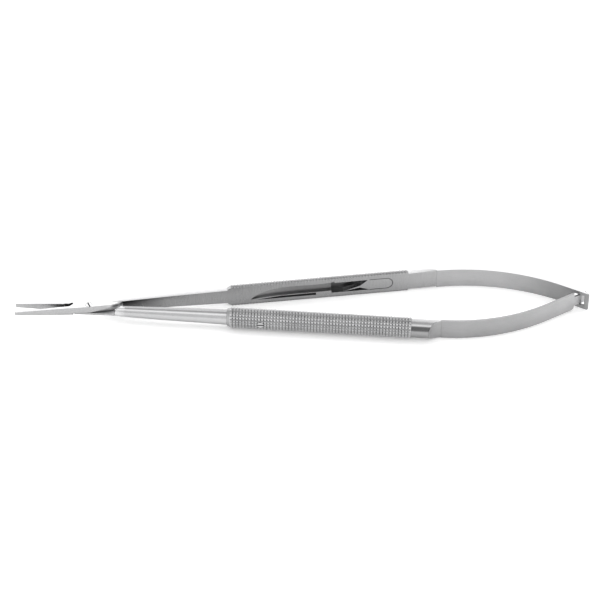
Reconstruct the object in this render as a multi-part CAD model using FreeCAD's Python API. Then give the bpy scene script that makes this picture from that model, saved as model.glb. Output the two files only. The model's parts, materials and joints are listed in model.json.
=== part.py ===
import FreeCAD
import Part
import math
import os

# Spring-handled needle holder, lying flat and open. Millimetres and degrees.
# It is modelled round its joint screw: jaws towards -X, spring tail towards +X, the two
# arms side by side in Y, and the middle plane of the forgings at z = 0.
# Side -1 is the near arm: lower half of the lap joint, handle at -Y, jaw at +Y.
# Side +1 is the far arm: upper half of the lap joint, handle at +Y, jaw at -Y.

# How far it stands open
jaw_opening = 8.6
handle_splay = 1.75

# Jaws
jaw_reach = 23.8
jaw_tip_height = 1.42
jaw_tip_width = 0.55
jaw_knee_from_screw = 9.2
jaw_knee_height = 2.88
jaw_edge_round = 0.4
jaw_tip_round = 0.35
jaw_clearance = 0.03

# Lap joint
joint_thickness = 3.28
joint_width = 2.5
lap_plane = -0.8
lap_clearance = 0.04
crotch_from_screw = 6.3
crotch_round = 0.6
crotch_overrun = 1.5
lap_front = 4.6
lap_front_round = 0.5
lap_back = 7.2
lap_back_width = 0.88
shoulder_front = 8.0
shoulder_back = 10.9
relief_clearance = 0.25

# Shanks and handles
handle_from_screw = 44.8
handle_length = 58.9
handle_radius = 4.0
front_half_gap = 0.03
closed_half_gap = 1.05
shank_radii = [(4.0, 1.2), (10.0, 2.08), (24.0, 2.55), (handle_from_screw, 3.0)]
shank_edge_break = 0.3

# Square knurl of the handles: rings along the handle, and columns round each half
knurl_rings = 58
knurl_columns = 12
knurl_depth = 0.4
knurl_lead = 0.9

# Necks and leaf springs
neck_radius = 3.6
neck_length = 9.6
shoulder_length = 4.0
shoulder_sag = 0.36
knuckle_reach = 0.15
leaf_thickness = 0.7
leaf_root_width = 7.2
leaf_tail_width = 6.8
leaf_clearance = 0.05
tail_from_screw = 157.9
tail_drift = 1.1
tail_angle = 29.0
tongue_height = 3.8
tongue_clearance = 0.2
tongue_past_tail = 2.6
tongue_shoulder = 2.1
slot_before_tail = 1.9
slot_past_tail = 1.75
tail_bar = 1.55
slot_corner_round = 0.15
tail_corner_round = 0.9

# Joint screw
screw_radius = 0.7
screw_head_radius = 1.02
screw_head_height = 0.7
screw_slot_width = 0.42
screw_slot_depth = 0.4
screw_slot_turn = -67.0
screw_end_inset = 0.2
running_clearance = 0.04

# Latch spring in the near handle, and the screw that holds it
latch_screw_at = 10.9
latch_foot_length = 5.0
latch_foot_height = 3.0
latch_foot_thickness = 1.0
latch_foot_round = 1.0
latch_foot_room = 0.3
latch_rest_gap = 0.1
latch_strip_height = 1.2
latch_strip_thickness = 0.6
latch_hook_at = 38.6
latch_hook_length = 1.2
latch_hook_reach = 3.7
latch_hook_round = 0.2
latch_hook_room = 2.0
latch_barb = 0.9
latch_barb_height = 1.2
latch_barb_drop = 1.0
latch_back_drop = 0.4
latch_channel_height = 3.6
latch_channel_depth = 1.15
latch_channel_front_round = 0.8
latch_channel_back_round = 1.5
latch_screw_radius = 0.7
latch_head_radius = 1.1
latch_head_height = 0.8
latch_head_depth = 0.35
latch_head_clearance = 0.15
latch_slot_width = 0.4
latch_slot_depth = 0.4

# Far handle's inner face: trough, groove, pocket, catch plate and its rivet.
# Outlines are (x along the flat, z, corner radius), edges are (x, z).
trough_low_edge = [(7.3, -2.0), (13.0, -1.45), (20.0, -1.2), (34.7, -1.1)]
trough_high_edge = [(7.3, -2.0), (12.0, 0.9), (20.0, 2.2), (34.7, 2.6)]
trough_depth = 0.9
groove_outline = [(8.8, -2.35, 0), (28.7, -2.4, 0), (28.7, -1.4, 0), (16.8, -1.5, 4.0)]
groove_depth = 0.8
pocket_start = 33.7
pocket_depth = 2.7
pocket_end = 46.2
pocket_round = 0.4
catch_seat_depth = 1.8
catch_seat_start = 35.7
catch_beak = (37.5, -1.97)
catch_beak_heel = (43.0, -0.9)
catch_beak_neck = (43.2, -0.1)
catch_beak_neck_round = 0.5
catch_shoulder_at = 45.6
catch_shoulder_round = 0.3
catch_flush = 0.02
catch_half_height = 2.1
catch_end = 53.8
catch_clearance = 0.03
catch_rivet_at = 51.5
catch_rivet_radius = 0.8
catch_rivet_length = 2.9

half_opening = jaw_opening / 2
half_joint = joint_thickness / 2
half_lap = joint_width / 2
handle_turn = handle_splay + half_opening
shank_splay = math.degrees(math.atan((closed_half_gap - front_half_gap) / handle_from_screw))
flat_at_shoulder = front_half_gap + shoulder_back * math.tan(math.radians(shank_splay))
near_side = -1
far_side = 1
over = 0.5
up = FreeCAD.Vector(0, 0, 1)
origin = FreeCAD.Vector(0, 0, 0)


def outline(points, place):
    """A closed wire through (a, b, corner radius) points, with place(a, b) giving each vector."""
    corners = [place(a, b) for a, b, r in points]
    edges = []
    last = None
    first = None
    for i, (a, b, radius) in enumerate(points):
        corner = corners[i]
        before = (corners[i - 1] - corner).normalize()
        after = (corners[(i + 1) % len(points)] - corner).normalize()
        if radius > 0:
            half = before.getAngle(after) / 2
            back = radius / math.tan(half)
            start = corner + before * back
            end = corner + after * back
            inward = (before + after).normalize()
            middle = corner + inward * (radius / math.sin(half) - radius)
        else:
            start = corner
            end = corner
        if last is None:
            first = start
        else:
            edges.append(Part.makeLine(last, start))
        if radius > 0:
            edges.append(Part.Arc(start, middle, end).toShape())
        last = end
    edges.append(Part.makeLine(last, first))
    return Part.Wire(edges)


def plan_prism(points, low, high):
    """Plan outline of (x, y, corner radius) points, standing from z = low to z = high."""
    wire = outline(points, lambda x, y: FreeCAD.Vector(x, y, low))
    return Part.Face(wire).extrude(FreeCAD.Vector(0, 0, high - low))


def side_prism(points, start, end):
    """Side outline of (x, z, corner radius) points, running from y = start to y = end."""
    wire = outline(points, lambda x, z: FreeCAD.Vector(x, start, z))
    return Part.Face(wire).extrude(FreeCAD.Vector(0, end - start, 0))


def rod(radius, start, end, x=0.0, z=0.0):
    """A round rod across the instrument, from y = start to y = end."""
    direction = FreeCAD.Vector(0, end - start, 0)
    return Part.makeCylinder(radius, abs(end - start), FreeCAD.Vector(x, start, z), direction)


def turned(shape, angle):
    """The shape turned about the joint screw."""
    copy = shape.copy()
    copy.rotate(origin, up, angle)
    return copy


def on_handle(shape, side):
    """From handle measures (x along the flat, y = 0 at the flat) to the open instrument."""
    copy = turned(shape, side * handle_splay)
    copy.translate(FreeCAD.Vector(handle_from_screw, side * closed_half_gap, 0))
    return turned(copy, side * half_opening)


def half_round_wire(x, face, radius, side):
    """Half-round section at x, with its flat at y = face and its round side outwards."""
    edge = shank_edge_break
    reach = math.sqrt(radius ** 2 - edge ** 2)
    flat_low = FreeCAD.Vector(x, face, edge - radius)
    flat_high = FreeCAD.Vector(x, face, radius - edge)
    round_high = FreeCAD.Vector(x, face + side * edge, reach)
    round_out = FreeCAD.Vector(x, face + side * radius, 0)
    round_low = FreeCAD.Vector(x, face + side * edge, -reach)
    return Part.Wire([
        Part.makeLine(flat_low, flat_high),
        Part.makeLine(flat_high, round_high),
        Part.Arc(round_high, round_out, round_low).toShape(),
        Part.makeLine(round_low, flat_low),
    ])


def blank_section(x, width, height, side):
    """Forging section at x: rounded corners on the jaw's side, and open past the other side."""
    points = [
        (side * joint_width, -height / 2, 0),
        (-side * width, -height / 2, jaw_edge_round),
        (-side * width, height / 2, jaw_edge_round),
        (side * joint_width, height / 2, 0),
    ]
    return outline(points, lambda y, z: FreeCAD.Vector(x, y, z))


def make_front(side):
    """The forging from the jaw's tip to the middle of the joint screw."""
    to_knee = 1 - jaw_knee_from_screw / jaw_reach
    knee_width = jaw_tip_width + to_knee * (half_lap - jaw_tip_width)
    return Part.makeLoft([
        blank_section(-jaw_reach, jaw_tip_width, jaw_tip_height, side),
        blank_section(-jaw_knee_from_screw, knee_width, jaw_knee_height, side),
        blank_section(0, half_lap, joint_thickness, side),
    ], True, True)


def make_back(side):
    """The forging from the joint screw to where the arm's flat begins."""
    return Part.makeLoft([
        blank_section(0, half_lap, joint_thickness, side),
        blank_section(lap_back, lap_back_width, joint_thickness, side),
        blank_section(shoulder_back, -flat_at_shoulder, joint_thickness, side),
    ], True, True)


def make_jaw(side):
    """Smooth straight jaw, flat inside and rounded outside, with a rounded tip."""
    flat = -side * jaw_clearance / 2
    tip_plan = plan_prism([
        (-jaw_reach, flat, 0),
        (-jaw_reach, -side * jaw_tip_width, jaw_tip_round),
        (0, -side * joint_width, 0),
        (0, flat, 0),
    ], -joint_thickness, joint_thickness)
    tip_side = side_prism([
        (-jaw_reach, -jaw_tip_height / 2, jaw_tip_round),
        (0, -joint_thickness, 0),
        (0, joint_thickness, 0),
        (-jaw_reach, jaw_tip_height / 2, jaw_tip_round),
    ], -joint_width, joint_width)
    return make_front(side).common(tip_plan).common(tip_side)


def crotch_points(side):
    """The start of a lap's plan outline: along the jaw's flat, then across to the other side."""
    flat = -side * jaw_clearance / 2
    return [
        (-crotch_from_screw - crotch_overrun, flat, 0),
        (-crotch_from_screw, flat, crotch_round),
        (-lap_front, side * half_lap, lap_front_round),
    ]


def own_layer(side):
    """The heights that an arm's half of the lap joint takes, past its outer face."""
    return sorted([lap_plane + side * lap_clearance / 2, side * joint_thickness])


def other_layer(side):
    """The heights that an arm leaves to the other arm's half of the lap joint."""
    return sorted([lap_plane + side * lap_clearance / 2, -side * joint_thickness])


def make_lap(side):
    """One arm's half of the lap joint: the lower layer for the near arm."""
    plan = plan_prism(crotch_points(side) + [
        (shoulder_back, side * half_lap, 0),
        (shoulder_back, -side * joint_width, 0),
        (-crotch_from_screw - crotch_overrun, -side * joint_width, 0),
    ], *own_layer(side))
    return make_front(side).fuse(make_back(side)).common(plan)


def make_lap_relief(side):
    """Room in one arm for the other arm's half of the lap, from closed to open."""
    low, high = other_layer(side)
    other = -side
    wire = outline(crotch_points(other) + [
        (shoulder_back + over, other * half_lap, 0),
        (shoulder_back + over, other * flat_at_shoulder, 0),
        (shoulder_back, other * flat_at_shoulder, 0),
        (lap_back, side * lap_back_width, 0),
        (0, side * half_lap, 0),
        (-crotch_from_screw - crotch_overrun, side * half_lap, 0),
    ], lambda x, y: FreeCAD.Vector(x, y, low))
    room = Part.Face(wire).makeOffset2D(relief_clearance).extrude(FreeCAD.Vector(0, 0, high - low))
    half_open = turned(room, -side * half_opening)
    open_wide = turned(room, -side * jaw_opening)
    return room.fuse([half_open, open_wide])


def edge_break_wire(x, face, radius, side):
    """Wedge at x whose slopes break the edges between a flat and its round side."""
    narrow = radius - shank_edge_break - over
    wide = radius - shank_edge_break + 2 * radius
    return Part.makePolygon([
        FreeCAD.Vector(x, face - side * over, -narrow),
        FreeCAD.Vector(x, face - side * over, narrow),
        FreeCAD.Vector(x, face + side * 2 * radius, wide),
        FreeCAD.Vector(x, face + side * 2 * radius, -wide),
        FreeCAD.Vector(x, face - side * over, -narrow),
    ])


def make_shank(side):
    """Tapered half-round shank, with the slanted shoulder that ends the lap joint."""
    face = side * front_half_gap
    start = shank_radii[0][0]
    edge = [FreeCAD.Vector(x, face, radius) for x, radius in shank_radii]
    ends = [FreeCAD.Vector(handle_from_screw, face, 0), FreeCAD.Vector(start, face, 0)]
    profile = Part.Face(Part.makePolygon(edge + ends + edge[:1]))
    half_round = profile.revolve(FreeCAD.Vector(0, face, 0), FreeCAD.Vector(1, 0, 0), -180 * side)
    breaks = Part.makeLoft(
        [edge_break_wire(x, face, radius, side) for x, radius in shank_radii], True, True)
    shank = half_round.common(breaks)
    wide = 2 * handle_radius
    low, high = other_layer(side)
    in_front = plan_prism([
        (start - over, side * wide, 0),
        (start - over, face - side * over, 0),
        (shoulder_back, face - side * over, 0),
        (shoulder_back, face, 0),
        (shoulder_front, face + side * shank_radii[1][1], 0),
        (shoulder_front - over, side * wide, 0),
    ], low, high)
    return turned(shank.cut(in_front), side * shank_splay)


def make_handle(side):
    """Half-round handle of square knurl, in handle measures: four-sided teeth on a plain core."""
    step = math.pi / knurl_columns
    root = handle_radius - knurl_depth
    pitch = (handle_length - knurl_lead) / knurl_rings
    corners = []
    facets = []

    def corner(x, radius, angle):
        corners.append((x, radius * math.sin(angle), radius * math.cos(angle)))
        return len(corners) - 1

    def section(x, radius):
        """A ring's boundary: on the flat's top edge, between the columns, on its bottom edge."""
        at_flat = radius * math.cos(step / 2)
        between = [corner(x, radius, (column + 0.5) * step) for column in range(knurl_columns)]
        return [corner(x, at_flat, 0)] + between + [corner(x, at_flat, math.pi)]

    front = section(0, root - knurl_depth)
    ring = section(knurl_lead, root)
    for low in range(knurl_columns + 1):
        facets += [(front[low], ring[low], ring[low + 1]), (front[low], ring[low + 1], front[low + 1])]
    facets += [(front[0], front[-1], ring[-1]), (front[0], ring[-1], ring[0])]
    facets += [(front[0], front[low], front[low + 1]) for low in range(1, knurl_columns + 1)]
    for number in range(knurl_rings):
        middle = knurl_lead + (number + 0.5) * pitch
        tips = [corner(middle, handle_radius, column * step) for column in range(knurl_columns + 1)]
        following = section(middle + pitch / 2, root)
        for column, tip in enumerate(tips):
            facets += [(ring[column], tip, ring[column + 1])]
            facets += [(following[column], following[column + 1], tip)]
            if column > 0:
                facets += [(ring[column], following[column], tip)]
            if column < knurl_columns:
                facets += [(following[column + 1], ring[column + 1], tip)]
        facets += [(ring[0], ring[-1], tips[-1]), (ring[0], tips[-1], tips[0])]
        facets += [(tips[0], tips[-1], following[-1]), (tips[0], following[-1], following[0])]
        ring = following
    facets += [(ring[0], ring[low + 1], ring[low]) for low in range(1, knurl_columns + 1)]
    shell = Part.Shape()
    shell.makeShapeFromMesh((corners, facets), 0.001)
    handle = Part.makeSolid(shell)
    return handle if side == far_side else handle.mirror(origin, FreeCAD.Vector(0, 1, 0))


def make_neck(side):
    """Plain half-round neck that thins in a hollow shoulder to the leaf's root."""
    start = handle_length - 1
    end = handle_length + neck_length
    bar = Part.Face(half_round_wire(start, 0, neck_radius, side)).extrude(
        FreeCAD.Vector(end - start, 0, 0))
    thin = leaf_thickness
    shoulder = end - shoulder_length
    deep = neck_radius + 1
    hollow = Part.Arc(
        FreeCAD.Vector(shoulder, side * neck_radius, -deep),
        FreeCAD.Vector(
            shoulder + shoulder_length * shoulder_sag,
            side * (thin + shoulder_sag * (neck_radius - thin)), -deep),
        FreeCAD.Vector(end + over, side * thin, -deep),
    ).toShape()
    away = Part.makePolygon([
        FreeCAD.Vector(end + over, side * thin, -deep),
        FreeCAD.Vector(end + over, side * deep, -deep),
        FreeCAD.Vector(shoulder, side * deep, -deep),
        FreeCAD.Vector(shoulder, side * neck_radius, -deep),
    ])
    waste = Part.Face(Part.Wire([hollow] + away.Edges)).extrude(FreeCAD.Vector(0, 0, 2 * deep))
    knuckle = Part.makeCylinder(
        thin / 2 + leaf_clearance, 2 * deep, FreeCAD.Vector(end, side * thin / 2, -deep), up)
    beyond = Part.makeBox(2, 2 * deep, 2 * deep, FreeCAD.Vector(end - knuckle_reach, -deep, -deep))
    return bar.cut(waste).cut(knuckle).cut(beyond)


def make_blank(side):
    """One forged arm before its own machining, with the jaws standing open."""
    front = make_jaw(side).fuse([make_lap(side), make_shank(side)]).cut(make_lap_relief(side))
    back = make_handle(side).fuse(make_neck(side))
    return turned(front, side * half_opening).fuse(on_handle(back, side))


def finish(shape):
    """One clean solid."""
    clean = shape.removeSplitter()
    return clean.Solids[0] if len(clean.Solids) == 1 else clean


def make_joint_screw():
    """Slotted screw: fast in the near arm, with its head flush in the far arm."""
    stem_low = -half_joint + screw_end_inset
    stem = Part.makeCylinder(screw_radius, half_joint - stem_low, FreeCAD.Vector(0, 0, stem_low))
    head = Part.makeCylinder(
        screw_head_radius, screw_head_height, FreeCAD.Vector(0, 0, half_joint - screw_head_height))
    slot = Part.makeBox(
        4 * screw_head_radius, screw_slot_width, 2 * screw_slot_depth,
        FreeCAD.Vector(-2 * screw_head_radius, -screw_slot_width / 2, half_joint - screw_slot_depth))
    return stem.fuse(head).cut(turned(slot, screw_slot_turn)).removeSplitter()


def make_near_arm():
    """Near arm: tapped for the joint screw, with the channel and screw hole of the latch."""
    side = near_side
    tapped = Part.makeCylinder(screw_radius, joint_thickness, FreeCAD.Vector(0, 0, -half_joint))
    channel_start = latch_screw_at - latch_foot_length / 2 - latch_foot_room
    channel_end = latch_hook_at + latch_hook_length + latch_hook_room
    half = latch_channel_height / 2
    channel = side_prism([
        (channel_start, -half, latch_channel_front_round),
        (channel_end, -half, latch_channel_back_round),
        (channel_end, half, latch_channel_back_round),
        (channel_start, half, latch_channel_front_round),
    ], over, side * latch_channel_depth)
    hole = rod(latch_screw_radius, 0, side * handle_radius, latch_screw_at)
    floor = side * (handle_radius - latch_head_depth - latch_head_height)
    above = side * (handle_radius + over)
    recess = rod(latch_head_radius + latch_head_clearance, floor, above, latch_screw_at)
    cuts = on_handle(channel.fuse([hole, recess]), side)
    return finish(make_blank(side).cut([tapped, cuts]))


def make_latch_screw():
    """Slotted screw that holds the latch spring from outside the near handle."""
    side = near_side
    top = handle_radius - latch_head_depth
    under = top - latch_head_height
    stem = rod(latch_screw_radius, side * latch_rest_gap, side * under, latch_screw_at)
    head = rod(latch_head_radius, side * under, side * top, latch_screw_at)
    slot = Part.makeBox(
        4 * latch_head_radius, 2 * latch_slot_depth, latch_slot_width,
        FreeCAD.Vector(latch_screw_at - 2 * latch_head_radius, side * top - latch_slot_depth,
                       -latch_slot_width / 2))
    return on_handle(stem.fuse(head).cut(slot).removeSplitter(), side)


def make_latch_spring():
    """Latch spring: foot round its screw, narrow strip, and a hook towards the far handle."""
    side = near_side
    back = side * (latch_channel_depth - latch_rest_gap)
    front = back - side * latch_foot_thickness
    half_foot = latch_foot_height / 2
    foot_start = latch_screw_at - latch_foot_length / 2
    foot_end = latch_screw_at + latch_foot_length / 2
    foot = side_prism([
        (foot_start, -half_foot, latch_foot_round),
        (foot_end, -half_foot, latch_foot_round),
        (foot_end, half_foot, latch_foot_round),
        (foot_start, half_foot, latch_foot_round),
    ], back, front)
    half_strip = latch_strip_height / 2
    hook_end = latch_hook_at + latch_hook_length
    strip_front = back - side * latch_strip_thickness
    strip = side_prism([
        (foot_end - over, -half_strip, 0),
        (hook_end, -half_strip, 0),
        (hook_end, half_strip, 0),
        (foot_end - over, half_strip, 0),
    ], back, strip_front)
    hook_top = -side * latch_hook_reach
    hook = plan_prism([
        (latch_hook_at, back, 0),
        (latch_hook_at, hook_top + side * latch_barb_height, 0),
        (latch_hook_at - latch_barb, hook_top + side * latch_barb_drop, 0),
        (latch_hook_at + latch_hook_round, hook_top, latch_hook_round),
        (hook_end, hook_top + side * latch_back_drop, latch_hook_round),
        (hook_end, back, 0),
    ], -half_strip, half_strip)
    bore = rod(latch_screw_radius + running_clearance, 2 * back, -2 * back, latch_screw_at)
    return on_handle(finish(foot.fuse([strip, hook]).cut(bore)), side)


def trough_wire(start):
    """Pointed outline of the shallow trough in the far flat, as a wire at y = start."""
    low = Part.BSplineCurve()
    low.interpolate([FreeCAD.Vector(x, start, z) for x, z in trough_low_edge])
    high = Part.BSplineCurve()
    high.interpolate([FreeCAD.Vector(x, start, z) for x, z in trough_high_edge])
    end = Part.makeLine(low.EndPoint, high.EndPoint)
    return Part.Wire([low.toShape(), end, high.toShape()])


def make_catch_space():
    """Everything milled into the far handle's flat, in handle measures."""
    trough = Part.Face(trough_wire(-over)).extrude(FreeCAD.Vector(0, trough_depth + over, 0))
    groove = side_prism(groove_outline, -over, groove_depth)
    high = catch_half_height
    pocket = side_prism([
        (pocket_start, -high, pocket_round),
        (pocket_end, -high, 0),
        (pocket_end, high, 0),
        (pocket_start, high, pocket_round),
    ], -over, pocket_depth)
    seat = side_prism([
        (catch_seat_start, -high, 0),
        (catch_end, -high, high - 0.01),
        (catch_end, high, high - 0.01),
        (catch_seat_start, high, 0),
    ], -over, catch_seat_depth)
    hole = rod(catch_rivet_radius, -over, catch_rivet_length, catch_rivet_at)
    return trough.fuse([groove, pocket, seat, hole])


def make_catch_plate():
    """Catch plate flush with the far flat, with the beak that the latch hook snaps behind."""
    high = catch_half_height - catch_clearance
    end = catch_end - catch_clearance
    plate = side_prism([
        (*catch_beak, 0),
        (*catch_beak_heel, 0),
        (pocket_end, -high, 0),
        (end, -high, high - 0.01),
        (end, high, high - 0.01),
        (catch_shoulder_at, high, catch_shoulder_round),
        (*catch_beak_neck, catch_beak_neck_round),
    ], catch_flush, catch_seat_depth)
    bore = rod(catch_rivet_radius, -over, catch_seat_depth + over, catch_rivet_at)
    return on_handle(plate.cut(bore), far_side)


def make_catch_rivet():
    """Flush rivet through the catch plate into the far handle."""
    return on_handle(rod(catch_rivet_radius, catch_flush, catch_rivet_length, catch_rivet_at), far_side)


def make_far_arm():
    """Far arm: bored for the joint screw, with the catch spaces in its flat."""
    side = far_side
    bore = Part.makeCylinder(screw_radius + running_clearance, 2 * joint_thickness,
                             FreeCAD.Vector(0, 0, -joint_thickness))
    sink = Part.makeCylinder(screw_head_radius + running_clearance, joint_thickness,
                             FreeCAD.Vector(0, 0, half_joint - screw_head_height - running_clearance))
    spaces = on_handle(make_catch_space(), side)
    return finish(make_blank(side).cut([bore, sink, spaces]))


def handle_point(side, x, depth):
    """A point of one handle on the open instrument, x along its flat and depth into it."""
    return on_handle(Part.Vertex(FreeCAD.Vector(x, side * depth, 0)), side).Point


def direction(angle):
    """Unit vector in plan at an angle from +X."""
    turn = math.radians(angle)
    return FreeCAD.Vector(math.cos(turn), math.sin(turn), 0)


def leaf_band(side, past_tail):
    """Spring leaf of full width: one arc from the root, then straight through the tail point."""
    root = handle_point(side, handle_length + neck_length, leaf_thickness / 2)
    tail = FreeCAD.Vector(tail_from_screw, tail_drift, 0)
    leave = direction(side * handle_turn)
    arrive = direction(-side * tail_angle)
    turn = math.radians(handle_turn + tail_angle)
    to_corner = ((tail - root).cross(arrive)).z / (leave.cross(arrive)).z
    corner = root + leave * to_corner
    radius = to_corner / math.tan(turn / 2)
    middle_way = direction(side * (handle_turn - tail_angle) / 2)
    out_root = FreeCAD.Vector(-leave.y, leave.x, 0) * side
    out_mid = FreeCAD.Vector(-middle_way.y, middle_way.x, 0) * side
    out_tail = FreeCAD.Vector(-arrive.y, arrive.x, 0) * side
    centre = root - out_root * radius
    arc_end = corner + arrive * to_corner
    end = tail + arrive * past_tail
    half = leaf_thickness / 2
    drop = FreeCAD.Vector(0, 0, -leaf_root_width / 2)

    def rail(offset):
        arc = Part.Arc(
            centre + out_root * (radius + offset) + drop,
            centre + out_mid * (radius + offset) + drop,
            centre + out_tail * (radius + offset) + drop)
        return arc.toShape(), arc_end + out_tail * offset + drop, end + out_tail * offset + drop

    inner_arc, inner_mid, inner_end = rail(-half)
    outer_arc, outer_mid, outer_end = rail(half)
    wire = Part.Wire(Part.__sortEdges__([
        inner_arc,
        Part.makeLine(inner_mid, inner_end),
        Part.makeLine(inner_end, outer_end),
        Part.makeLine(outer_end, outer_mid),
        outer_arc,
        Part.makeLine(root - out_root * half + drop, root + out_root * half + drop),
    ]))
    band = Part.Face(wire).extrude(FreeCAD.Vector(0, 0, leaf_root_width))
    knuckle = Part.makeCylinder(half, leaf_root_width, root + drop, up)
    return band.fuse(knuckle), root


def make_leaf(side):
    """One leaf spring. The near leaf ends in a tongue, the far leaf in a slotted bar."""
    along = math.cos(math.radians(tail_angle))
    tall = leaf_root_width / 2
    low = leaf_tail_width / 2
    tongue = tongue_height / 2
    if side == near_side:
        band, root = leaf_band(side, tongue_past_tail)
        shoulder = tail_from_screw - tongue_shoulder * along
        points = [
            (root.x - 1, -tall, 0),
            (shoulder, -low, tail_corner_round),
            (shoulder, -tongue, 0),
            (tail_from_screw + 2 * tongue_past_tail, -tongue, 0),
            (tail_from_screw + 2 * tongue_past_tail, tongue, 0),
            (shoulder, tongue, 0),
            (shoulder, low, tail_corner_round),
            (root.x - 1, tall, 0),
        ]
        return finish(band.common(side_prism(points, -30, 30)))
    band, root = leaf_band(side, slot_past_tail + tail_bar)
    end = tail_from_screw + (slot_past_tail + tail_bar) * along
    points = [
        (root.x - 1, -tall, 0),
        (end, -low, tail_corner_round),
        (end, low, tail_corner_round),
        (root.x - 1, tall, 0),
    ]
    gap = tongue + tongue_clearance
    slot = side_prism([
        (tail_from_screw - slot_before_tail * along, -gap, slot_corner_round),
        (tail_from_screw + slot_past_tail * along, -gap, slot_corner_round),
        (tail_from_screw + slot_past_tail * along, gap, slot_corner_round),
        (tail_from_screw - slot_before_tail * along, gap, slot_corner_round),
    ], -10, 10)
    return finish(band.common(side_prism(points, -30, 30)).cut(slot))


def standing(parts):
    """All parts moved so that the box is centred on the origin and stands on z = 0."""
    box = Part.makeCompound(list(parts.values())).optimalBoundingBox(False)
    shift = FreeCAD.Vector(-box.Center.x, -box.Center.y, -box.ZMin)
    print("screw axis at", shift, "box", box.XLength, box.YLength, box.ZLength)
    for shape in parts.values():
        shape.translate(shift)
    return parts


parts = standing({
    "near_arm": make_near_arm(),
    "far_arm": make_far_arm(),
    "joint_screw": make_joint_screw(),
    "near_leaf_spring": make_leaf(near_side),
    "far_leaf_spring": make_leaf(far_side),
    "latch_spring": make_latch_spring(),
    "latch_screw": make_latch_screw(),
    "catch_plate": make_catch_plate(),
    "catch_rivet": make_catch_rivet(),
})
os.makedirs("parts", exist_ok=True)
for name, shape in parts.items():
    print(name, len(shape.Solids), round(shape.Volume, 2), shape.isValid())
    shape.exportStep("parts/" + name + ".step")
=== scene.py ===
import bpy
import bmesh
import json
import math
import numpy as np
from mathutils import Matrix, Vector


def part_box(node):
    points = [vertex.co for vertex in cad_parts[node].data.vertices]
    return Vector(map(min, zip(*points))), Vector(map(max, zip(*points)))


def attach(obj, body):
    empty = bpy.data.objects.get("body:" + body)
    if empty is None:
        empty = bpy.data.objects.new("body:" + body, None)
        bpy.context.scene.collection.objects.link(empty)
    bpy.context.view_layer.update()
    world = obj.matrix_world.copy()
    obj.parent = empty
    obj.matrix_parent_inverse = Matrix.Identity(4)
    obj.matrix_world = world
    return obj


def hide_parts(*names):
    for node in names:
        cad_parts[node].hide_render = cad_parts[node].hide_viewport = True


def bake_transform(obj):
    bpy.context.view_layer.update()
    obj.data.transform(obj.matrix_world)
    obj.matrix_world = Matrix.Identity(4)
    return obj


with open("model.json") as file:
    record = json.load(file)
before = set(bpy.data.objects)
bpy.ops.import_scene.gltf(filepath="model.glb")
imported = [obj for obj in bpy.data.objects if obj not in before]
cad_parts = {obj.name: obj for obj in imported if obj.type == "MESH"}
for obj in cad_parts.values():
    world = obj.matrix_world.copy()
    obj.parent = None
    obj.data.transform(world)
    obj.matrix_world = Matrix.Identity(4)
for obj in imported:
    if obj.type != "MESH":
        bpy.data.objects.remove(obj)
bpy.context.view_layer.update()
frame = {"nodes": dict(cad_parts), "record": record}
print("frame loaded")

# The spring-handled needle holder lies open on a white floor, seen from its near side.
# Metres: jaws towards -X, spring tail towards +X, near arm at -Y. Angles are in degrees.

# The view's shifts and focal length are in the picture's pixels
view = {"azimuth": -0.456, "elevation": 42.88, "roll": -0.554, "distance": 0.7029,
        "target": (0, 0, 0.004), "focalPixels": 2184.56, "shiftRight": 2.226, "shiftDown": 5.114,
        "picturePixels": 600, "sensorWidth": 36, "nearest": 0.01, "farthest": 20}


def placed(name, data):
    thing = bpy.data.objects.new(name, data)
    bpy.context.scene.collection.objects.link(thing)
    return thing


def placeCamera():
    # The camera stands off from the target at the given angles and rolls about its line of sight
    azimuth, elevation, roll = (math.radians(view[key]) for key in ("azimuth", "elevation", "roll"))
    toCamera = Vector((math.sin(azimuth) * math.cos(elevation),
                       -math.cos(azimuth) * math.cos(elevation), math.sin(elevation)))
    right = Vector((math.cos(azimuth), math.sin(azimuth), 0))
    above = toCamera.cross(right)
    turned = Matrix((right * math.cos(roll) + above * math.sin(roll),
                     above * math.cos(roll) - right * math.sin(roll), toCamera)).transposed()
    lens = bpy.data.cameras.new("camera")
    lens.sensor_width = view["sensorWidth"]
    lens.lens = view["focalPixels"] * view["sensorWidth"] / view["picturePixels"]
    lens.shift_x = -view["shiftRight"] / view["picturePixels"]
    lens.shift_y = view["shiftDown"] / view["picturePixels"]
    lens.clip_start = view["nearest"]
    lens.clip_end = view["farthest"]
    camera = placed("camera", lens)
    camera.matrix_world = Matrix.Translation(
        Vector(view["target"]) + toCamera * view["distance"]) @ turned.to_4x4()
    bpy.context.scene.camera = camera
    bpy.context.scene.view_settings.view_transform = "Standard"


placeCamera()
print("camera placed")

# The handles' and the lap joint's measures. A facing or a slope is the cosine between a face's
# normal and the way towards the other arm, or upwards
handles = {"screwNode": "joint_screw", "halfOpening": 4.3, "splay": 1.75, "start": 0.0448,
           "halfGap": 0.00105, "length": 0.0589, "knurlRoot": 0.0035, "neckPlain": 0.0056,
           "recessFrom": 0.004, "recessDepth": 0.0001, "ringEnd": 0.0015, "creaseAngle": 24,
           "flatFacing": 0.98, "tailFacing": 0.9, "ringFacing": 0.5}
lap = {"front": -0.0068, "back": 0.0115, "plane": -0.0008, "planeWithin": 0.0001, "flatFrom": -0.034,
       "crotch": -0.0063, "crotchRoom": 0.0007, "crotchFacing": -0.3, "floorSlope": 0.9,
       "wallSlope": 0.5}


def centreOf(node):
    low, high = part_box(node)
    return (low + high) / 2


screwAt = centreOf(handles["screwNode"])
middle = centreOf("near_arm").z


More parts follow.
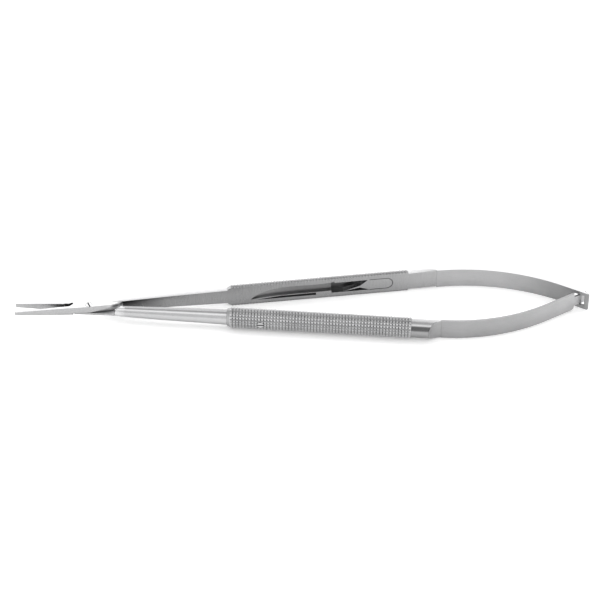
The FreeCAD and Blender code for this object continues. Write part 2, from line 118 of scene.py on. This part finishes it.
def newGroup(name, inputs, outputs):
    group = bpy.data.node_groups.new(name, "ShaderNodeTree")
    for label, kind, value in inputs:
        group.interface.new_socket(label, in_out="INPUT", socket_type=kind).default_value = value
    for label, kind in outputs:
        group.interface.new_socket(label, in_out="OUTPUT", socket_type=kind)
    given, result = group.nodes.new("NodeGroupInput"), group.nodes.new("NodeGroupOutput")
    return group, given.outputs, result.inputs


def added(tree, kind, inputs, **settings):
    # A new node with its settings, fed with plain values or with other nodes' outputs
    node = tree.nodes.new("ShaderNode" + kind)
    for name, value in settings.items():
        setattr(node, name, value)
    for socket, value in inputs.items():
        if isinstance(value, bpy.types.NodeSocket):
            tree.links.new(value, node.inputs[socket])
        else:
            node.inputs[socket].default_value = value
    return node


# Short forms of the nodes that are used most. Each gives the new node's output


def maths(tree, operation, first, second=0):
    return added(tree, "Math", {0: first, 1: second}, operation=operation).outputs["Value"]


def scaled(tree, colour, factor):
    return added(tree, "VectorMath", {0: colour, "Scale": factor}, operation="SCALE").outputs["Vector"]


def spreadOver(tree, value, ends, **settings):
    return added(tree, "MapRange", {"Value": value, **ends}, **settings).outputs["Result"]


# A Mix node's sockets share their names, so they go by number: first, second and result
mixSockets = {"FLOAT": (2, 3, 0), "VECTOR": (4, 5, 1), "RGBA": (6, 7, 2)}


def mixed(tree, kind, factor, first, second, **settings):
    firstAt, secondAt, resultAt = mixSockets[kind]
    inputs = {0: factor, firstAt: first, secondAt: second}
    return added(tree, "Mix", inputs, data_type=kind, **settings).outputs[resultAt]


ground = {"lineDetail": 3, "cloudScale": 160, "cloudDetail": 4, "cloudShare": 0.45,
          "darkestAt": 0.35, "lightestAt": 0.65, "recessReach": 0.0012, "recessSamples": 8,
          "edgeSamples": 6, "reliefHeight": 0.00003,
          "outlineRadius": 0.0003, "outlineFrom": 0.985, "outlineFull": 0.9}


def steelGroup():
    group, given, result = newGroup("groundSteel", [
        ("Dark", "NodeSocketColor", (0.5, 0.5, 0.5, 1)),
        ("Light", "NodeSocketColor", (0.6, 0.6, 0.6, 1)),
        ("Smooth", "NodeSocketFloat", 0.25),
        ("Rough", "NodeSocketFloat", 0.4),
        ("Grain", "NodeSocketVector", (300, 9000, 9000)),
        ("Relief", "NodeSocketFloat", 0.1),
        ("Edge", "NodeSocketFloat", 0.0001),
        ("Recess", "NodeSocketFloat", 0.5),
        ("Depth", "NodeSocketFloat", 1.0),
        ("Outline", "NodeSocketFloat", 0.0),
    ], [
        ("Colour", "NodeSocketColor"),
        ("Roughness", "NodeSocketFloat"),
        ("Normal", "NodeSocketVector"),
    ])
    link = group.links.new
    place = added(group, "TexCoord", {}).outputs["Object"]
    # Grain lines: noise in object coordinates, stretched by the group's grain scale
    stretch = added(group, "VectorMath", {0: place, 1: given["Grain"]}, operation="MULTIPLY")
    lines = added(group, "TexNoise", {"Vector": stretch.outputs["Vector"], "Scale": 1,
                                      "Detail": ground["lineDetail"]}).outputs["Fac"]
    # Handling marks: a slow cloud that shifts the colour and the gloss a little
    cloud = added(group, "TexNoise", {"Vector": place, "Scale": ground["cloudScale"],
                                      "Detail": ground["cloudDetail"]}).outputs["Fac"]
    marks = spreadOver(group, mixed(group, "FLOAT", ground["cloudShare"], lines, cloud),
                       {"From Min": ground["darkestAt"], "From Max": ground["lightestAt"]})
    colour = mixed(group, "RGBA", marks, given["Dark"], given["Light"])
    link(mixed(group, "FLOAT", marks, given["Smooth"], given["Rough"]), result["Roughness"])
    # Painted shade: recesses are darkened in the colour where little of the surroundings reaches
    # them, raised to the given depth
    closeness = added(group, "AmbientOcclusion", {"Distance": ground["recessReach"]},
                      samples=ground["recessSamples"]).outputs["Color"]
    deeper = added(group, "Gamma", {"Color": closeness, "Gamma": given["Depth"]}).outputs["Color"]
    shaded = mixed(group, "RGBA", given["Recess"], colour, deeper, blend_type="MULTIPLY")
    # Painted shade: a thin dark line along each edge, from how far the rounded normal leans from
    # the surface's own
    own = added(group, "NewGeometry", {}).outputs["Normal"]
    wide = added(group, "Bevel", {"Radius": ground["outlineRadius"]},
                 samples=ground["edgeSamples"]).outputs["Normal"]
    lean = added(group, "VectorMath", {0: own, 1: wide}, operation="DOT_PRODUCT").outputs["Value"]
    atEdge = spreadOver(group, lean, {"From Min": ground["outlineFrom"],
                                      "From Max": ground["outlineFull"]})
    kept = maths(group, "SUBTRACT", 1, maths(group, "MULTIPLY", atEdge, given["Outline"]))
    link(scaled(group, shaded, kept), result["Colour"])
    # Broken edges: the normal is rounded over the edge radius, then ruffled by the grain
    rounded = added(group, "Bevel", {"Radius": given["Edge"]},
                    samples=ground["edgeSamples"]).outputs["Normal"]
    ruffle = added(group, "Bump", {"Distance": ground["reliefHeight"], "Strength": given["Relief"],
                                   "Height": lines, "Normal": rounded})
    link(ruffle.outputs["Normal"], result["Normal"])
    return group


def shadeGroup():
    # Painted reflections: steel is painted darker where it faces steel, and each place is painted as
    # bright as it mirrors its surroundings, by a smooth change of tone between two places along an
    # axis, or between two slopes of the surface to that axis
    group, given, result = newGroup("toneAlong", [
        ("Axis", "NodeSocketVector", (1, 0, 0)),
        ("Start", "NodeSocketFloat", 0.0),
        ("End", "NodeSocketFloat", 1.0),
        ("First", "NodeSocketFloat", 1.0),
        ("Last", "NodeSocketFloat", 1.0),
        ("By Slope", "NodeSocketFloat", 0.0),
    ], [("Tone", "NodeSocketFloat")])
    place = added(group, "TexCoord", {}).outputs["Object"]
    facing = added(group, "NewGeometry", {}).outputs["Normal"]
    source = mixed(group, "VECTOR", given["By Slope"], place, facing)
    measure = added(group, "VectorMath", {0: source, 1: given["Axis"]}, operation="DOT_PRODUCT")
    tone = spreadOver(group, measure.outputs["Value"], {
        "From Min": given["Start"], "From Max": given["End"],
        "To Min": given["First"], "To Max": given["Last"]}, interpolation_type="SMOOTHSTEP")
    group.links.new(tone, result["Tone"])
    return group


seat = {"from": 0.0462, "capAt": 0.0517, "halfHeight": 0.0021, "lineHalf": 0.00014, "darkness": 0.8}


def seatGroup():
    # The joint round the catch plate: in the far handle's measures it is the curve that keeps
    # the plate's half height from the line between its straight part and its round end's centre
    group, given, result = newGroup("seatLine", [("Darkness", "NodeSocketFloat", seat["darkness"])],
                                    [("Line", "NodeSocketFloat")])
    opened = math.radians(handles["halfOpening"])
    start, gap = handles["start"], handles["halfGap"]
    corner = (screwAt.x + start * math.cos(opened) - gap * math.sin(opened),
              screwAt.y + start * math.sin(opened) + gap * math.cos(opened), middle)
    turn = math.radians(handles["halfOpening"] + handles["splay"])
    place = added(group, "TexCoord", {}).outputs["Object"]
    handle = added(group, "Mapping", {"Vector": place, "Location": corner, "Rotation": (0, 0, turn)},
                   vector_type="TEXTURE").outputs["Vector"]
    parts = added(group, "SeparateXYZ", {"Vector": handle}).outputs
    past = maths(group, "MAXIMUM", maths(group, "SUBTRACT", parts["X"], seat["capAt"]), 0)
    squares = (maths(group, "MULTIPLY", part, part) for part in (past, parts["Z"]))
    reach = maths(group, "SQRT", maths(group, "ADD", *squares))
    away = maths(group, "SUBTRACT", reach, seat["halfHeight"])
    near = maths(group, "LESS_THAN", maths(group, "ABSOLUTE", away), seat["lineHalf"])
    behind = maths(group, "GREATER_THAN", parts["X"], seat["from"])
    dark = maths(group, "MULTIPLY", maths(group, "MULTIPLY", near, behind), given["Darkness"])
    group.links.new(maths(group, "SUBTRACT", 1, dark), result["Line"])
    return group


steel = steelGroup()
toneAlong = shadeGroup()
seatLine = seatGroup()
coolness = 1.01  # how much more blue than red the steel has


def steelMaterial(name, look):
    material = bpy.data.materials.new(name)
    material.use_nodes = True
    tree = material.node_tree
    dark, light = ((grey, grey, grey * coolness, 1) for grey in look["greys"])
    smooth, rough = look["gloss"]
    surface = added(tree, "Group", {
        "Dark": dark, "Light": light, "Smooth": smooth, "Rough": rough, "Grain": look["grain"],
        "Relief": look["relief"], "Edge": look["edge"], "Recess": look["recess"],
        "Depth": look.get("depth", 1), "Outline": look.get("outline", 0)}, node_tree=steel).outputs
    colour = surface["Colour"]
    for tone in look.get("tones", []):
        values = dict(zip(("Axis", "Start", "End", "First", "Last", "By Slope"), tone))
        shade = added(tree, "Group", values, node_tree=toneAlong)
        colour = scaled(tree, colour, shade.outputs["Tone"])
    if look.get("seat"):
        mark = added(tree, "Group", {}, node_tree=seatLine)
        colour = scaled(tree, colour, mark.outputs["Line"])
    shader = tree.nodes["Principled BSDF"].inputs
    shader["Metallic"].default_value = 1
    tree.links.new(colour, shader["Base Color"])
    tree.links.new(surface["Roughness"], shader["Roughness"])
    tree.links.new(surface["Normal"], shader["Normal"])
    return material


# Greys and gloss go from the grain's lowest value to its highest, and the grain is in lines per
# metre along each axis. A tone is a painted reflection; it says along what, from where, to where,
# its first and last factor, and 1 where the places are slopes. The looks share one steel, and their
# greys differ only to paint the light and shade at each place
tailwards = (1, 0, 0)
upwards = (0, 0, 1)
drawnGrain = (250, 9000, 9000)
groundGrain = (9000, 9000, 250)
knurlGrain = (3000, 3000, 3000)
screwGrain = (2500, 2500, 2500)
# Painted reflections on the handles' flats: darker greys, darkest towards the joint and lighter towards
# the leaf springs
handleFlat = {"greys": (0.36, 0.4), "gloss": (0.24, 0.34), "grain": groundGrain,
              "relief": 0.06, "edge": 0.00001, "recess": 0.3,
              "tones": [(tailwards, -0.059, -0.040, 0.24, 1), (tailwards, 0.020, 0.046, 1, 1.13)]}
looks = {
    "satin": {"greys": (0.54, 0.6), "gloss": (0.2, 0.28), "grain": drawnGrain,
              "relief": 0.08, "edge": 0.00012, "recess": 0.4, "outline": 0.3},
    # Painted shade on the shank: darker greys, and its most upward-facing part darker still
    "shank": {"greys": (0.5, 0.56), "gloss": (0.18, 0.26), "grain": drawnGrain,
              "relief": 0.08, "edge": 0.00018, "recess": 0.4, "outline": 0.7,
              "tones": [(upwards, 0.72, 0.9, 1, 0.6, 1)]},
    # Painted reflections on the neck: a dark band at a given height, paler below it and full above, and
    # its most upward-facing part darker
    "neck": {"greys": (0.43, 0.49), "gloss": (0.2, 0.28), "grain": drawnGrain,
             "relief": 0.08, "edge": 0.00018, "recess": 0.4, "outline": 0.7,
             "tones": [(upwards, 0.0062, 0.0067, 0.28, 1), (upwards, 0.0047, 0.0054, 2.6, 1),
                       (upwards, 0.72, 0.9, 1, 0.75, 1)]},
    # Painted light on the jaws' sides: lighter towards the lap's back end, with edges outlined in
    # painted shade
    "jaw": {"greys": (0.43, 0.5), "gloss": (0.22, 0.32), "grain": drawnGrain,
            "relief": 0.06, "edge": 0.00006, "recess": 0.4, "outline": 1,
            "tones": [(tailwards, -0.0640, -0.0602, 1, 1.45)]},
    # Painted shade on the jaws' inner faces: nearly black towards the crotch
    "jawFlat": {"greys": (0.41, 0.47), "gloss": (0.24, 0.34), "grain": groundGrain,
                "relief": 0.06, "edge": 0.00006, "recess": 0.3,
                "tones": [(tailwards, -0.083, -0.0755, 1, 0.17)]},
    "groundFlat": {**handleFlat, "seat": True},
    "nearFlat": handleFlat,
    # Painted reflection in the trough and the pocket: very dark greys, lighter towards the trough's
    # front end
    "milledPaintedReflection": {"greys": (0.2, 0.27), "gloss": (0.3, 0.42), "grain": drawnGrain,
               "relief": 0.12, "edge": 0.00008, "recess": 0.6,
               "tones": [(tailwards, -0.0175, 0.002, 1.6, 1)]},
    # Painted shade: the lap's floor takes the recess darkening in full, and deepened
    "lapFloor": {"greys": (0.4, 0.46), "gloss": (0.3, 0.4), "grain": drawnGrain,
                 "relief": 0.1, "edge": 0.00004, "recess": 1, "depth": 2.2},
    "shadowed": {"greys": (0.03, 0.06), "gloss": (0.4, 0.5), "grain": drawnGrain,
                 "relief": 0.1, "edge": 0.00004, "recess": 1},
    # Painted shade in the knurl's grooves, from the recess darkening
    "knurl": {"greys": (0.5, 0.62), "gloss": (0.22, 0.34), "grain": knurlGrain,
              "relief": 0.1, "edge": 0.00003, "recess": 1, "depth": 1.8},
    # Painted shade: the far knurl is a darker copy of the near knurl
    "farKnurl": {"greys": (0.36, 0.46), "gloss": (0.22, 0.34), "grain": knurlGrain,
                 "relief": 0.1, "edge": 0.00003, "recess": 1, "depth": 2.2},
    # Painted reflection: the near leaf spring grows lighter towards its tail
    "spring": {"greys": (0.42, 0.5), "gloss": (0.3, 0.42), "grain": drawnGrain,
               "relief": 0.08, "edge": 0.00002, "recess": 0.4,
               "tones": [(tailwards, 0.058, 0.092, 0.86, 1.14)]},
    # Painted reflection: the far leaf spring grows darker towards its tail
    "farSpring": {"greys": (0.42, 0.5), "gloss": (0.3, 0.42), "grain": drawnGrain,
                  "relief": 0.08, "edge": 0.00001, "recess": 0.4,
                  "tones": [(tailwards, 0.064, 0.084, 1.03, 0.76)]},
    # Painted shade on the near leaf's top and bottom edges
    "springEdge": {"greys": (0.26, 0.31), "gloss": (0.3, 0.4), "grain": drawnGrain,
                   "relief": 0.08, "edge": 0.00012, "recess": 0.4},
    # Painted light on the far leaf's top and bottom edges
    "farEdge": {"greys": (0.56, 0.62), "gloss": (0.3, 0.4), "grain": drawnGrain,
                "relief": 0.08, "edge": 0.00004, "recess": 0.4},
    # Painted shade round the screw heads and in their slots, from the recess darkening
    "screw": {"greys": (0.5, 0.6), "gloss": (0.2, 0.3), "grain": screwGrain,
              "relief": 0.05, "edge": 0.00008, "recess": 1, "depth": 3},
}
finishes = {name: steelMaterial(name, look) for name, look in looks.items()}
print("materials made")

mergeWithin = 0.000002


def mergedCopy(node):
    # The copy drops the stored normals, so that its shading follows its own faces
    mesh = frame["nodes"][node].data.copy()
    mesh.name = node + "Dressed"
    if "custom_normal" in mesh.attributes:
        mesh.attributes.remove(mesh.attributes["custom_normal"])
    work = bmesh.new()
    work.from_mesh(mesh)
    bmesh.ops.remove_doubles(work, verts=work.verts, dist=mergeWithin)
    work.to_mesh(mesh)
    work.free()
    mesh.materials.clear()
    return mesh


def measured(items, name):
    # One row of three numbers for each face or point
    values = np.empty(len(items) * 3)
    items.foreach_get(name, values)
    return values.reshape(-1, 3)


def finished(mesh, names, kinds, creaseAngle):
    # A face's kind is its finish's place among the names. Edges past the crease angle stay sharp
    for name in names:
        mesh.materials.append(finishes[name])
    mesh.polygons.foreach_set("material_index", kinds.astype(np.int32))
    mesh.polygons.foreach_set("use_smooth", np.ones(len(mesh.polygons), dtype=bool))
    mesh.set_sharp_from_angle(angle=math.radians(creaseAngle))


def shown(node, mesh, body):
    piece = placed(node + "Dressed", mesh)
    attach(piece, body)
    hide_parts(node)


def inHandle(points, side):
    # Handle measures: turned back about the joint screw by half the opening, moved to the
    # handle's start, and turned back by the splay; then depth is counted away from the flat
    def turnedBack(x, y, degrees):
        angle = math.radians(-side * degrees)
        return x * math.cos(angle) - y * math.sin(angle), x * math.sin(angle) + y * math.cos(angle)
    x, y = turnedBack(points[:, 0] - screwAt.x, points[:, 1] - screwAt.y, handles["halfOpening"])
    x, y = turnedBack(x - handles["start"], y - side * handles["halfGap"], handles["splay"])
    return x, side * y, points[:, 2] - middle


def dressArm(node, body, side, flat, ridges):
    # Later rules overrule earlier ones. The arms cross at the screw, so the jaws' inner faces
    # look the other way than the handles' flats
    names = ("satin", flat, "milledPaintedReflection", ridges, "shadowed", "spring", "jaw", "jawFlat", "lapFloor",
             "neck", "shank")
    mesh = mergedCopy(node)
    centres, normals = measured(mesh.polygons, "center"), measured(mesh.polygons, "normal")
    kinds = np.zeros(len(centres), dtype=np.int32)

    def give(name, faces):
        kinds[faces] = names.index(name)

    along, depth, height = inHandle(centres, side)
    radius = np.hypot(depth, height)
    fromScrew = centres[:, 0] - screwAt.x
    inwards = -side * normals[:, 1]
    slope = np.abs(normals[:, 2])
    upright = slope < lap["wallSlope"]
    isFlat = inwards > handles["flatFacing"]
    isJawFlat = inwards < -handles["flatFacing"]
    behindFlat = along > lap["flatFrom"]
    onHandle = (along > 0) & (along < handles["length"])
    toothed = radius > handles["knurlRoot"]
    sunk = depth > handles["recessDepth"]
    give("jaw", upright & (fromScrew < lap["back"]) & (along < lap["flatFrom"]))
    give("jawFlat", isJawFlat & (fromScrew < lap["front"] + lap["crotchRoom"]))
    pastNeck = along > handles["length"] + handles["neckPlain"]
    give("spring", pastNeck & (inwards < handles["tailFacing"]))
    give(flat, isFlat & upright & behindFlat)
    if side < 0:
        plain = kinds == names.index("satin")
        give("shank", plain & (along < 0) & behindFlat & (fromScrew > lap["back"]))
        give("neck", plain & (along > handles["length"]) & sunk)
    give("spring", (along > 0) & (along < handles["ringEnd"]) & (inwards < handles["ringFacing"]))
    give(ridges, onHandle & toothed)
    # Painted reflection: the trough and the pocket take the dark look
    give("milledPaintedReflection", onHandle & ~toothed & sunk & (along > handles["recessFrom"]))
    inLap = (fromScrew > lap["front"]) & (fromScrew < lap["back"])
    onPlane = np.abs(height - lap["plane"]) < lap["planeWithin"]
    give("lapFloor", inLap & onPlane & (slope > lap["floorSlope"]))
    if side < 0:
        atCrotch = np.abs(fromScrew - lap["crotch"]) < lap["crotchRoom"]
        give("shadowed", atCrotch & (inwards < lap["crotchFacing"]) & (height > lap["plane"]))
    finished(mesh, names, kinds, handles["creaseAngle"])
    shown(node, mesh, body)


dressArm("near_arm", "near_side", -1, "nearFlat", "knurl")
dressArm("far_arm", "far_side", 1, "groundFlat", "farKnurl")
print("arms dressed")

leaves = {"rowSpacing": 0.0012, "bendLength": 0.030, "thickness": 0.0007, "tailFromScrew": 0.1579,
          "tailDrift": 0.0011, "tailAngle": 29.0, "snapWithin": 0.0001, "edgeSlope": 0.9,
          "creaseAngle": 30}


def onArc(mesh, side, root):
    # The leaf leaves its root along the handle and arrives at the tail point at the tail angle.
    # Both tangents meet at one corner, equally far along each from the ends of the bow, so the
    # bow's radius is that distance over the tangent of half the turn. Each point of the bow is
    # then set to exactly half the leaf's thickness from it
    def heading(degrees):
        return np.array((math.cos(math.radians(degrees)), math.sin(math.radians(degrees))))
    start = np.array(root[:2])
    tail = np.array((screwAt.x + leaves["tailFromScrew"], screwAt.y + leaves["tailDrift"]))
    turn = handles["halfOpening"] + handles["splay"]
    leave, arrive = heading(side * turn), heading(-side * leaves["tailAngle"])
    gap = tail - start
    toCorner = (gap[0] * arrive[1] - gap[1] * arrive[0]) / (leave[0] * arrive[1] - leave[1] * arrive[0])
    radius = toCorner / math.tan(math.radians(turn + leaves["tailAngle"]) / 2)
    centre = start - side * radius * np.array((-leave[1], leave[0]))
    bowEnd = start + (leave + arrive) * toCorner
    points = measured(mesh.vertices, "co")
    arm = points[:, :2] - centre
    reach = np.hypot(arm[:, 0], arm[:, 1])
    offset = np.copysign(leaves["thickness"] / 2, reach - radius)
    inBow = (points[:, 0] > start[0]) & (points[:, 0] < bowEnd[0])
    inBow &= np.abs(reach - radius - offset) < leaves["snapWithin"]
    arm[inBow] *= ((radius + offset) / reach)[inBow, None]
    points[:, :2] = centre + arm
    mesh.vertices.foreach_set("co", points.ravel())


def dressLeaf(node, side, pivot, names):
    # Rows of points across the leaf let it bend evenly
    mesh = mergedCopy(node)
    work = bmesh.new()
    work.from_mesh(mesh)
    low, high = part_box(node)
    for x in np.arange(low.x + leaves["rowSpacing"], high.x, leaves["rowSpacing"]):
        bmesh.ops.bisect_plane(work, geom=work.verts[:] + work.edges[:] + work.faces[:],
                               plane_co=(x, 0, 0), plane_no=tailwards)
    work.to_mesh(mesh)
    work.free()
    onArc(mesh, side, pivot)
    isEdge = np.abs(measured(mesh.polygons, "normal")[:, 2]) > leaves["edgeSlope"]
    finished(mesh, names, isEdge, leaves["creaseAngle"])
    piece = placed(node + "Dressed", mesh)
    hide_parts(node)
    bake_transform(piece)


roots = {joint["name"]: Vector(joint["pos_m"]) for joint in frame["record"]["behaviour"]["joints"]}
dressLeaf("near_leaf_spring", -1, roots["near_leaf_flex"],
          ("spring", "springEdge"))
dressLeaf("far_leaf_spring", 1, roots["far_leaf_flex"],
          ("farSpring", "farEdge"))
print("leaf springs dressed")

# Each small piece's body, finish and slot, and the way its screw head faces
latchTurn = math.radians(handles["halfOpening"] + handles["splay"])
latchHead = (-math.sin(latchTurn), -math.cos(latchTurn), 0)
small = {"driverSlotReach": 0.00027, "creaseAngle": 30, "pieces": {
    "joint_screw": ("near_side", "screw", "screw_steel", upwards),
    "latch_screw": ("near_side", "screw", "screw_steel", latchHead),
    "latch_spring": ("latch", "spring", "spring_steel", None),
    "catch_plate": ("far_side", "groundFlat", "satin_steel", None),
    "catch_rivet": ("far_side", "groundFlat", "screw_steel", None),
}}


def inDriverSlot(mesh, node, headwards):
    # The slot's floor and walls are the faces of the head that are centred next to its axis
    arm = measured(mesh.polygons, "center") - np.array(centreOf(node))
    reach = arm @ np.array(headwards)
    aside = np.linalg.norm(arm - np.outer(reach, headwards), axis=1)
    return (reach > 0) & (aside < small["driverSlotReach"])


def dressSmall(node, body, look, slotName, headwards):
    mesh = mergedCopy(node)
    if headwards:
        finished(mesh, (look, "shadowed"), inDriverSlot(mesh, node, headwards), small["creaseAngle"])
    else:
        finished(mesh, (look,), np.zeros(len(mesh.polygons)), small["creaseAngle"])
    shown(node, mesh, body)


for node, details in small["pieces"].items():
    dressSmall(node, *details)
print("small pieces dressed")

# The sky's bands go from the front through overhead to the back, each with its place and strength
studio = {"floorHalf": 4.0, "floorSeen": 0.97, "floorReflected": 0.95, "floorGlow": 0.22,
          "floorRoughness": 0.9, "floorShine": 0.1, "ambient": 1.16,
          "skyBands": [(0, 0.9), (0.12, 0.9), (0.17, 1.7), (0.26, 1.7), (0.31, 0.9), (0.55, 0.9),
                       (0.59, 0.6), (0.7, 0.6), (0.76, 1.7), (1, 1.7)],
          "lampPower": 3.2, "lampSize": 0.9, "lampPlace": (-0.15, 0.45, 1.1)}


def layFloor():
    half = studio["floorHalf"]
    corners = [(-half, -half, 0), (half, -half, 0), (half, half, 0), (-half, half, 0)]
    mesh = bpy.data.meshes.new("floor")
    mesh.from_pydata(corners, [], [(0, 1, 2, 3)])
    floor = placed("floor", mesh)
    paper = bpy.data.materials.new("paper")
    paper.use_nodes = True
    tree = paper.node_tree
    shader = tree.nodes["Principled BSDF"].inputs
    shader["Roughness"].default_value = studio["floorRoughness"]
    shader["Specular IOR Level"].default_value = studio["floorShine"]
    rays = added(tree, "LightPath", {}).outputs
    tone = spreadOver(tree, rays["Is Glossy Ray"], {"To Min": studio["floorSeen"],
                                                    "To Max": studio["floorReflected"]})
    tree.links.new(tone, shader["Base Color"])
    # The floor's white is lifted for the camera alone, so no more light falls on the steel
    tree.links.new(rays["Is Camera Ray"], shader["Emission Color"])
    shader["Emission Strength"].default_value = studio["floorGlow"]
    mesh.materials.append(paper)


def hangSky():
    # The sky is even for the floor's light, and the steel mirrors its bands
    world = bpy.data.worlds.new("studio")
    world.use_nodes = True
    tree = world.node_tree
    place = added(tree, "TexCoord", {}).outputs["Generated"]
    parts = added(tree, "SeparateXYZ", {"Vector": place}).outputs
    bands = added(tree, "ValToRGB", {"Fac": spreadOver(tree, parts["Y"], {"From Min": -1})})
    stops = bands.color_ramp.elements
    for number, (at, grey) in enumerate(studio["skyBands"]):
        stop = stops[number] if number < len(stops) else stops.new(at)
        stop.position = at
        stop.color = (grey, grey, grey, 1)
    rays = added(tree, "LightPath", {}).outputs
    strength = mixed(tree, "FLOAT", rays["Is Glossy Ray"], studio["ambient"], bands.outputs["Color"])
    sky = tree.nodes["Background"].inputs
    sky["Color"].default_value = (1, 1, 1, 1)
    tree.links.new(strength, sky["Strength"])
    bpy.context.scene.world = world


def hangLamp():
    lamp = bpy.data.lights.new("softbox", "AREA")
    lamp.energy = studio["lampPower"]
    lamp.size = studio["lampSize"]
    box = placed("softbox", lamp)
    box.location = studio["lampPlace"]
    box.rotation_euler = (-box.location).to_track_quat("-Z", "Y").to_euler()


layFloor()
hangSky()
hangLamp()
print("studio built")
